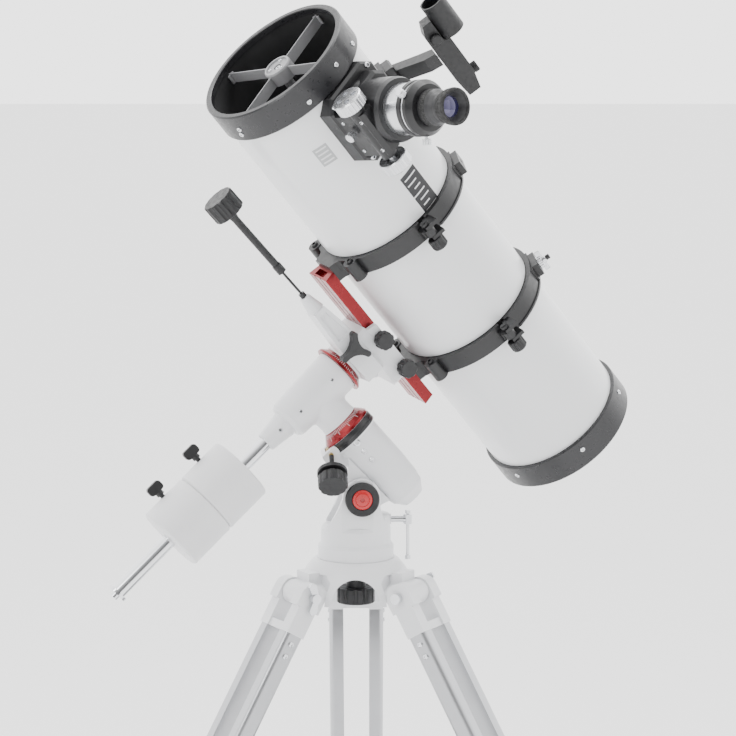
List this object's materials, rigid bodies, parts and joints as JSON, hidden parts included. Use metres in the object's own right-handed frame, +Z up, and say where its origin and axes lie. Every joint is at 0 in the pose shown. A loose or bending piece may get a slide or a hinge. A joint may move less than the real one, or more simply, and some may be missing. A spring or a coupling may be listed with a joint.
{
  "type": "reflector telescope on tripod",
  "caption": "Newtonian reflector telescope on a German equatorial mount with counterweights, on a folding aluminium tripod with braces and an accessory tray.",
  "frame": {"origin": "bottom centre of the bounding box, on the ground under the feet", "axes": "+Z up; one tripod leg points along +Y and the other two along -X-Y and +X-Y; the polar axis points towards -X and up"},
  "size_m": [0.7782, 0.6999, 1.3453],
  "materials": {
    "white_paint": "fine-textured satin powder coat",
    "tube_paint": "smooth gloss paint",
    "black_paint": "satin black paint",
    "leg_aluminium": "satin anodised extrusion",
    "bar_aluminium": "satin anodised extrusion",
    "black_plastic": "moulded satin black",
    "tray_paint": "moulded satin black",
    "red_anodised": "deep red anodised",
    "bright_steel": "bright plating",
    "brass": "machined",
    "silver_metal": "turned and satin plated",
    "mirror": "aluminised glass",
    "glass": "coated optical glass",
    "rubber": "matt moulded rubber"
  },
  "bodies": {
    "tripod": {"tripod_head": "white_paint", "leg_pivot_bolts": "bright_steel", "mount_bolt": "black_plastic"},
    "leg_1": {"leg_1_fittings": "white_paint", "leg_1_rails": "leg_aluminium"},
    "leg_1_extension": {"leg_1_lower": "bar_aluminium"},
    "leg_1_lock": {"leg_1_lock": "black_plastic"},
    "spreader_1": {"spreader_arm_1": "bar_aluminium"},
    "leg_2": {"leg_2_fittings": "white_paint", "leg_2_rails": "leg_aluminium"},
    "leg_2_extension": {"leg_2_lower": "bar_aluminium"},
    "leg_2_lock": {"leg_2_lock": "black_plastic"},
    "spreader_2": {"spreader_arm_2": "bar_aluminium"},
    "leg_3": {"leg_3_fittings": "white_paint", "leg_3_rails": "leg_aluminium"},
    "leg_3_extension": {"leg_3_lower": "bar_aluminium"},
    "leg_3_lock": {"leg_3_lock": "black_plastic"},
    "spreader_3": {"spreader_arm_3": "bar_aluminium"},
    "tray": {"accessory_tray": "tray_paint"},
    "azimuth": {"mount_base": "white_paint", "altitude_pin": "black_plastic"},
    "altitude_bolt": {"altitude_bolt": "bright_steel"},
    "tommy_bar": {"tommy_bar": "bright_steel"},
    "altitude": {"ra_housing": "white_paint", "ra_worm": "brass"},
    "ra_knob": {"ra_knob": "black_plastic"},
    "ra_circle": {"ra_circle": "red_anodised"},
    "ra": {"dec_housing": "white_paint", "ra_shaft": "bright_steel", "counterweight_shaft": "bright_steel"},
    "weight_1": {"counterweight_1": "white_paint"},
    "weight_1_lock": {"weight_lock_1": "black_plastic"},
    "weight_2": {"counterweight_2": "white_paint"},
    "weight_2_lock": {"weight_lock_2": "black_plastic"},
    "dec_circle": {"dec_circle": "red_anodised"},
    "dec": {"dec_saddle": "white_paint", "dovetail_bar": "red_anodised", "ring_cradles": "black_paint", "optical_tube": "tube_paint", "front_ring": "black_paint", "rear_cell": "black_paint", "spider": "black_paint", "primary_mirror": "mirror", "secondary_mirror": "mirror", "focuser_body": "black_paint", "finder_bracket": "black_paint", "ring_knob_1": "black_plastic", "ring_knob_2": "black_plastic"},
    "clutch_knob": {"dec_clutch_knob": "black_plastic"},
    "saddle_knob_1": {"saddle_knob_1": "black_plastic"},
    "saddle_knob_2": {"saddle_knob_2": "black_plastic"},
    "dec_handle": {"dec_handle": "black_plastic"},
    "ring_1": {"ring_upper_1": "black_paint"},
    "ring_2": {"ring_upper_2": "black_paint"},
    "drawtube": {"drawtube": "silver_metal", "eyepiece_clamp": "black_paint"},
    "eyepiece": {"eyepiece": "black_plastic"},
    "focus_knobs": {"focus_knobs": "silver_metal"},
    "focus_lock": {"focus_lock": "silver_metal"},
    "finder": {"finder_body": "black_plastic"}
  },
  "joints": [
    {"name": "leg_1_fold", "type": "hinge", "parent": "tripod", "child": "leg_1", "pos_m": [0, -0.01404, 0.61902], "axis": [-1, 0, 0], "range_deg": [0, 18]},
    {"name": "leg_1_extend", "type": "slide", "parent": "leg_1", "child": "leg_1_extension", "axis": [0, 0.5, -0.866], "range_m": [0, 0.2]},
    {"name": "leg_1_lock_turn", "type": "hinge", "parent": "leg_1", "child": "leg_1_lock", "pos_m": [0, 0.27629, 0.15617], "axis": [0, 0.866, 0.5], "continuous": true},
    {"name": "spreader_1_fold", "type": "hinge", "parent": "leg_1", "child": "spreader_1", "pos_m": [0, 0.23518, 0.13936], "axis": [-1, 0, 0], "range_deg": [0, 15.91]},
    {"name": "leg_2_fold", "type": "hinge", "parent": "tripod", "child": "leg_2", "pos_m": [-0.06842, -0.13254, 0.61902], "axis": [0.5, -0.866, 0], "range_deg": [0, 18]},
    {"name": "leg_2_extend", "type": "slide", "parent": "leg_2", "child": "leg_2_extension", "axis": [-0.433, -0.25, -0.866], "range_m": [0, 0.2]},
    {"name": "leg_2_lock_turn", "type": "hinge", "parent": "leg_2", "child": "leg_2_lock", "pos_m": [-0.31984, -0.2777, 0.15617], "axis": [-0.75, -0.433, 0.5], "continuous": true},
    {"name": "spreader_2_fold", "type": "hinge", "parent": "leg_2", "child": "spreader_2", "pos_m": [-0.28424, -0.25714, 0.13936], "axis": [0.5, -0.866, 0], "range_deg": [0, 15.91]},
    {"name": "leg_3_fold", "type": "hinge", "parent": "tripod", "child": "leg_3", "pos_m": [0.06842, -0.13254, 0.61902], "axis": [0.5, 0.866, 0], "range_deg": [0, 18]},
    {"name": "leg_3_extend", "type": "slide", "parent": "leg_3", "child": "leg_3_extension", "axis": [0.433, -0.25, -0.866], "range_m": [0, 0.2]},
    {"name": "leg_3_lock_turn", "type": "hinge", "parent": "leg_3", "child": "leg_3_lock", "pos_m": [0.31984, -0.2777, 0.15617], "axis": [0.75, -0.433, 0.5], "continuous": true},
    {"name": "spreader_3_fold", "type": "hinge", "parent": "leg_3", "child": "spreader_3", "pos_m": [0.28424, -0.25714, 0.13936], "axis": [0.5, 0.866, 0], "range_deg": [0, 15.91]},
    {"name": "tray_lift", "type": "slide", "parent": "tripod", "child": "tray", "axis": [0, 0, 1], "range_m": [0, 0.08063]},
    {"name": "azimuth_turn", "type": "hinge", "parent": "tripod", "child": "azimuth", "pos_m": [0, -0.09304, 0.65702], "axis": [0, 0, 1], "range_deg": [-180, 180]},
    {"name": "altitude_bolt_turn", "type": "hinge", "parent": "azimuth", "child": "altitude_bolt", "pos_m": [0.03992, -0.09048, 0.70302], "axis": [0.998, 0.0638, 0], "range_deg": [-100, 100]},
    {"name": "tommy_bar_slide", "type": "slide", "parent": "altitude_bolt", "child": "tommy_bar", "axis": [0, 0, 1], "range_m": [0, 0.004]},
    {"name": "altitude_tilt", "type": "hinge", "parent": "azimuth", "child": "altitude", "pos_m": [0.00559, -0.09268, 0.73472], "axis": [-0.0638, 0.998, 0], "range_deg": [-20, 0]},
    {"name": "ra_knob_turn", "type": "hinge", "parent": "altitude", "child": "ra_knob", "pos_m": [-0.02757, -0.15468, 0.76558], "axis": [0.0497, -0.7772, -0.6273], "continuous": true},
    {"name": "ra_turn", "type": "hinge", "parent": "altitude", "child": "ra", "pos_m": [0.01743, -0.09192, 0.78606], "axis": [-0.6882, -0.044, 0.7242], "range_deg": [-60, 60]},
    {"name": "ra_circle_turn", "type": "hinge", "parent": "ra", "child": "ra_circle", "pos_m": [-0.01492, -0.09399, 0.8201], "axis": [-0.6882, -0.044, 0.7242], "continuous": true},
    {"name": "weight_1_slide", "type": "slide", "parent": "ra", "child": "weight_1", "axis": [0.6906, 0.2662, 0.6725], "range_m": [0, 0.04]},
    {"name": "weight_2_slide", "type": "slide", "parent": "ra", "child": "weight_2", "axis": [0.6906, 0.2662, 0.6725], "range_m": [-0.06, 0]},
    {"name": "weight_1_lock_turn", "type": "hinge", "parent": "weight_1", "child": "weight_1_lock", "pos_m": [-0.19405, -0.14025, 0.78928], "axis": [-0.6882, -0.044, 0.7242], "continuous": true},
    {"name": "weight_2_lock_turn", "type": "hinge", "parent": "weight_2", "child": "weight_2_lock", "pos_m": [-0.23673, -0.1567, 0.74772], "axis": [-0.6882, -0.044, 0.7242], "continuous": true},
    {"name": "dec_turn", "type": "hinge", "parent": "ra", "child": "dec", "pos_m": [-0.00996, -0.08035, 0.89883], "axis": [0.6906, 0.2662, 0.6725], "range_deg": [-90, 90]},
    {"name": "dec_circle_turn", "type": "hinge", "parent": "dec", "child": "dec_circle", "pos_m": [-0.01893, -0.08381, 0.89009], "axis": [0.6906, 0.2662, 0.6725], "continuous": true},
    {"name": "clutch_knob_turn", "type": "hinge", "parent": "dec", "child": "clutch_knob", "pos_m": [-0.00109, -0.12617, 0.91826], "axis": [0.4688, -0.8728, -0.136], "continuous": true},
    {"name": "saddle_knob_1_turn", "type": "hinge", "parent": "dec", "child": "saddle_knob_1", "pos_m": [0.03305, -0.10163, 0.92629], "axis": [0.4688, -0.8728, -0.136], "continuous": true},
    {"name": "saddle_knob_2_turn", "type": "hinge", "parent": "dec", "child": "saddle_knob_2", "pos_m": [0.06114, -0.08077, 0.88918], "axis": [0.4688, -0.8728, -0.136], "continuous": true},
    {"name": "dec_handle_turn", "type": "hinge", "parent": "dec", "child": "dec_handle", "pos_m": [-0.07651, -0.13504, 0.99923], "axis": [-0.6173, -0.2676, 0.7398], "continuous": true},
    {"name": "ring_1_open", "type": "hinge", "parent": "dec", "child": "ring_1", "pos_m": [-0.0083, 0.00983, 1.09787], "axis": [-0.5507, -0.4092, 0.7275], "range_deg": [0, 75]},
    {"name": "ring_2_open", "type": "hinge", "parent": "dec", "child": "ring_2", "pos_m": [0.09028, 0.08307, 0.96765], "axis": [-0.5507, -0.4092, 0.7275], "range_deg": [0, 75]},
    {"name": "focus_travel", "type": "slide", "parent": "dec", "child": "drawtube", "axis": [0.6502, -0.7568, 0.0666], "range_m": [-0.024, 0.045]},
    {"name": "eyepiece_pull", "type": "slide", "parent": "drawtube", "child": "eyepiece", "axis": [0.6502, -0.7568, 0.0666], "range_m": [0, 0.03]},
    {"name": "focus_knob_turn", "type": "hinge", "parent": "dec", "child": "focus_knobs", "pos_m": [0.02031, -0.26886, 1.1863], "axis": [0.5507, 0.4092, -0.7275], "range_deg": [-230, 430]},
    {"name": "focus_lock_turn", "type": "hinge", "parent": "dec", "child": "focus_lock", "pos_m": [-0.00116, -0.26234, 1.18471], "axis": [-0.5234, -0.5097, -0.6829], "continuous": true},
    {"name": "finder_tilt", "type": "hinge", "parent": "dec", "child": "finder", "pos_m": [0.09906, -0.16911, 1.27094], "axis": [0.2325, -0.9123, -0.3371], "range_deg": [-3, 3]}
  ],
  "couplings": [
    {"joint": "spreader_1_fold", "follows": "leg_1_fold", "ratio": 0.8834},
    {"joint": "leg_2_fold", "follows": "leg_1_fold", "ratio": 1},
    {"joint": "spreader_2_fold", "follows": "leg_1_fold", "ratio": 0.8834},
    {"joint": "leg_3_fold", "follows": "leg_1_fold", "ratio": 1},
    {"joint": "spreader_3_fold", "follows": "leg_1_fold", "ratio": 0.8834},
    {"joint": "tray_lift", "follows": "leg_1_fold", "m_per_rad": 0.25603},
    {"joint": "focus_knob_turn", "follows": "focus_travel", "rad_per_m": 166.67}
  ]
}
